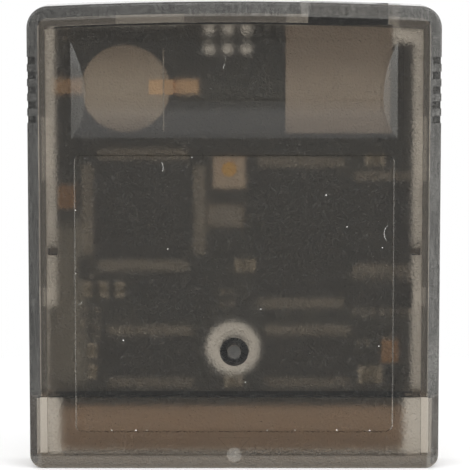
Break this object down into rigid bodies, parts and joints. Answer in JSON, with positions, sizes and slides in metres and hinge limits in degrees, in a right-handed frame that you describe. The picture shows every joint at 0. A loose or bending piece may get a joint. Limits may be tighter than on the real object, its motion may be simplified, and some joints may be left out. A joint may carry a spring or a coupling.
{
  "type": "flash cartridge",
  "caption": "Smoke-clear handheld console cartridge with a thumb recess, a bare label recess, a memory card in its edge, and a board with edge contacts, chips and a coin cell inside.",
  "frame": {"origin": "middle of the contact edge that it stands on, halfway through the thickness", "axes": "+Z from the contact edge up to the card edge, -Y out of the label face, +X to the right seen from the label side"},
  "size_m": [0.057, 0.0078, 0.065],
  "materials": {
    "front_shell_plastic": "smoke-clear moulding, polished outside and frosted inside",
    "back_shell_plastic": "smoke-clear moulding, fine matt texture outside",
    "screw_steel": "zinc-plated steel",
    "board_laminate": "glass laminate with a black solder mask",
    "gold_plating": "gold plating, satin",
    "cell_steel": "nickel-plated steel, finely brushed",
    "strap_nickel": "nickel strip",
    "socket_plastic": "black heat-resistant moulding",
    "socket_steel": "stamped stainless steel",
    "card_plastic": "black moulding, matt",
    "chip_moulding": "black epoxy moulding, matt",
    "tinned_metal": "matt tin plating",
    "oscillator_ceramic": "pale ceramic",
    "can_metal": "satin nickel lid",
    "tantalum_resin": "orange moulding",
    "capacitor_ceramic": "brown ceramic",
    "resistor_film": "black glazed film"
  },
  "bodies": {
    "root": {"front_shell": "front_shell_plastic", "back_shell": "back_shell_plastic", "housing_screw": "screw_steel", "circuit_board": "board_laminate", "edge_contacts": "gold_plating", "solder_pads": "gold_plating", "battery_cell": "cell_steel", "battery_tab_positive": "strap_nickel", "battery_tab_negative": "strap_nickel", "card_socket_base": "socket_plastic", "card_socket_cover": "socket_steel", "card_socket_contacts": "gold_plating", "card_detect_spring": "gold_plating", "memory_card": "card_plastic", "memory_card_contacts": "gold_plating", "logic_chip_body": "chip_moulding", "logic_chip_leads": "tinned_metal", "flash_memory_body": "chip_moulding", "flash_memory_leads": "tinned_metal", "save_memory_body": "chip_moulding", "save_memory_leads": "tinned_metal", "clock_chip_body": "chip_moulding", "clock_chip_leads": "tinned_metal", "bus_buffer_left_body": "chip_moulding", "bus_buffer_left_leads": "tinned_metal", "bus_buffer_right_body": "chip_moulding", "bus_buffer_right_leads": "tinned_metal", "work_memory_body": "chip_moulding", "work_memory_balls": "tinned_metal", "transistor_body": "chip_moulding", "transistor_leads": "tinned_metal", "oscillator_base": "oscillator_ceramic", "oscillator_lid": "can_metal", "oscillator_seal": "gold_plating", "crystal_base": "oscillator_ceramic", "crystal_can": "can_metal", "tantalum_capacitor_bodies": "tantalum_resin", "tantalum_capacitor_ends": "tinned_metal", "ceramic_capacitor_bodies": "capacitor_ceramic", "ceramic_capacitor_ends": "tinned_metal", "resistor_bodies": "resistor_film", "resistor_ends": "tinned_metal"}
  },
  "joints": []
}
